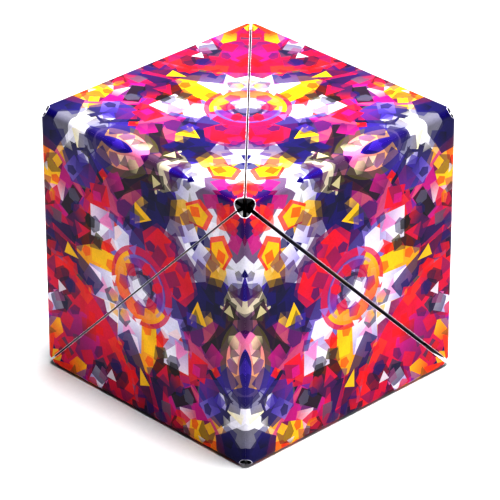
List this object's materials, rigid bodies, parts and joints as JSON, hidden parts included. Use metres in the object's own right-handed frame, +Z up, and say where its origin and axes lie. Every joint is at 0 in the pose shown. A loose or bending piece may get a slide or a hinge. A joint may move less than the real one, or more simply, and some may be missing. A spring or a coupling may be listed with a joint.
{
  "type": "shape-shifting magnetic puzzle cube",
  "caption": "Puzzle cube made of a closed ring of hollow magnetic wedges, each under half a cube face, hinged along the cube's edges by a printed film, with open seams on the face diagonals.",
  "frame": {"origin": "centre of the closed cube's bottom face, on the surface that it stands on", "axes": "+Z up out of the top face; -Y out of the front face, which has the wide seam, and -X out of the left face, so that the corner where six wedges meet at the top is at -X, -Y, +Z"},
  "size_m": [0.0572, 0.0572, 0.0571],
  "materials": {
    "printed_sheet": "satin laminated printed film in indigo, red, magenta, gold and white",
    "printed_lining": "satin laminated printed film on the inner faces",
    "black_shell": "fine satin injection-moulded black plastic",
    "nickel_magnet": "nickel-plated disc magnet"
  },
  "bodies": {
    "wedge_01": {"outer_print_01": "printed_sheet", "cover_01": "black_shell", "inner_shell_01": "black_shell", "magnets_01": "nickel_magnet", "lining_01": "printed_lining"},
    "wedge_02": {"outer_print_02": "printed_sheet", "cover_02": "black_shell", "inner_shell_02": "black_shell", "magnets_02": "nickel_magnet", "lining_02": "printed_lining"},
    "wedge_03": {"outer_print_03": "printed_sheet", "cover_03": "black_shell", "inner_shell_03": "black_shell", "magnets_03": "nickel_magnet", "lining_03": "printed_lining"},
    "wedge_04": {"outer_print_04": "printed_sheet", "cover_04": "black_shell", "inner_shell_04": "black_shell", "magnets_04": "nickel_magnet", "lining_04": "printed_lining"},
    "wedge_05": {"outer_print_05": "printed_sheet", "cover_05": "black_shell", "inner_shell_05": "black_shell", "magnets_05": "nickel_magnet", "lining_05": "printed_lining"},
    "wedge_06": {"outer_print_06": "printed_sheet", "cover_06": "black_shell", "inner_shell_06": "black_shell", "magnets_06": "nickel_magnet", "lining_06": "printed_lining"},
    "wedge_07": {"outer_print_07": "printed_sheet", "cover_07": "black_shell", "inner_shell_07": "black_shell", "magnets_07": "nickel_magnet", "lining_07": "printed_lining"},
    "wedge_08": {"outer_print_08": "printed_sheet", "cover_08": "black_shell", "inner_shell_08": "black_shell", "magnets_08": "nickel_magnet", "lining_08": "printed_lining"},
    "wedge_09": {"outer_print_09": "printed_sheet", "cover_09": "black_shell", "inner_shell_09": "black_shell", "magnets_09": "nickel_magnet", "lining_09": "printed_lining"},
    "wedge_10": {"outer_print_10": "printed_sheet", "cover_10": "black_shell", "inner_shell_10": "black_shell", "magnets_10": "nickel_magnet", "lining_10": "printed_lining"},
    "wedge_11": {"outer_print_11": "printed_sheet", "cover_11": "black_shell", "inner_shell_11": "black_shell", "magnets_11": "nickel_magnet", "lining_11": "printed_lining"},
    "wedge_12": {"outer_print_12": "printed_sheet", "cover_12": "black_shell", "inner_shell_12": "black_shell", "magnets_12": "nickel_magnet", "lining_12": "printed_lining"}
  },
  "joints": [
    {"name": "hinge_07_06", "type": "hinge", "parent": "wedge_07", "child": "wedge_06", "pos_m": [-0.02821, 0, 0.00037], "axis": [0, -1, 0], "range_deg": [0, 9.31]},
    {"name": "hinge_06_05", "type": "hinge", "parent": "wedge_06", "child": "wedge_05", "pos_m": [-0.02821, -0.02821, 0.02857], "axis": [0, 0, -1], "range_deg": [0, 8]},
    {"name": "hinge_05_04", "type": "hinge", "parent": "wedge_05", "child": "wedge_04", "pos_m": [0, -0.02821, 0.00037], "axis": [-1, 0, 0], "range_deg": [0, 9.31]},
    {"name": "hinge_07_08", "type": "hinge", "parent": "wedge_07", "child": "wedge_08", "pos_m": [0, 0.02821, 0.00037], "axis": [-1, 0, 0], "range_deg": [0, 8]},
    {"name": "hinge_08_09", "type": "hinge", "parent": "wedge_08", "child": "wedge_09", "pos_m": [-0.02821, 0.02821, 0.02857], "axis": [0, 0, -1], "range_deg": [0, 9.31]},
    {"name": "hinge_09_10", "type": "hinge", "parent": "wedge_09", "child": "wedge_10", "pos_m": [-0.02821, 0, 0.05678], "axis": [0, -1, 0], "range_deg": [0, 8]},
    {"name": "hinge_10_11", "type": "hinge", "parent": "wedge_10", "child": "wedge_11", "pos_m": [0, 0.02821, 0.05678], "axis": [1, 0, 0], "range_deg": [0, 9.31]},
    {"name": "hinge_11_12", "type": "hinge", "parent": "wedge_11", "child": "wedge_12", "pos_m": [0.02821, 0.02821, 0.02857], "axis": [0, 0, 1], "range_deg": [0, 8]},
    {"name": "hinge_12_01", "type": "hinge", "parent": "wedge_12", "child": "wedge_01", "pos_m": [0.02821, 0, 0.05678], "axis": [0, 1, 0], "range_deg": [0, 9.31]},
    {"name": "hinge_01_02", "type": "hinge", "parent": "wedge_01", "child": "wedge_02", "pos_m": [0, -0.02821, 0.05678], "axis": [-1, 0, 0], "range_deg": [0, 8]},
    {"name": "hinge_02_03", "type": "hinge", "parent": "wedge_02", "child": "wedge_03", "pos_m": [0.02821, -0.02821, 0.02857], "axis": [0, 0, -1], "range_deg": [0, 9.31]}
  ],
  "couplings": [
    {"joint": "hinge_07_06", "follows": "hinge_07_08", "ratio": 1.163},
    {"joint": "hinge_06_05", "follows": "hinge_07_08", "ratio": 1},
    {"joint": "hinge_05_04", "follows": "hinge_07_08", "ratio": 1.163},
    {"joint": "hinge_08_09", "follows": "hinge_07_08", "ratio": 1.163},
    {"joint": "hinge_09_10", "follows": "hinge_07_08", "ratio": 1},
    {"joint": "hinge_10_11", "follows": "hinge_07_08", "ratio": 1.163},
    {"joint": "hinge_11_12", "follows": "hinge_07_08", "ratio": 1},
    {"joint": "hinge_12_01", "follows": "hinge_07_08", "ratio": 1.163},
    {"joint": "hinge_01_02", "follows": "hinge_07_08", "ratio": 1},
    {"joint": "hinge_02_03", "follows": "hinge_07_08", "ratio": 1.163}
  ]
}
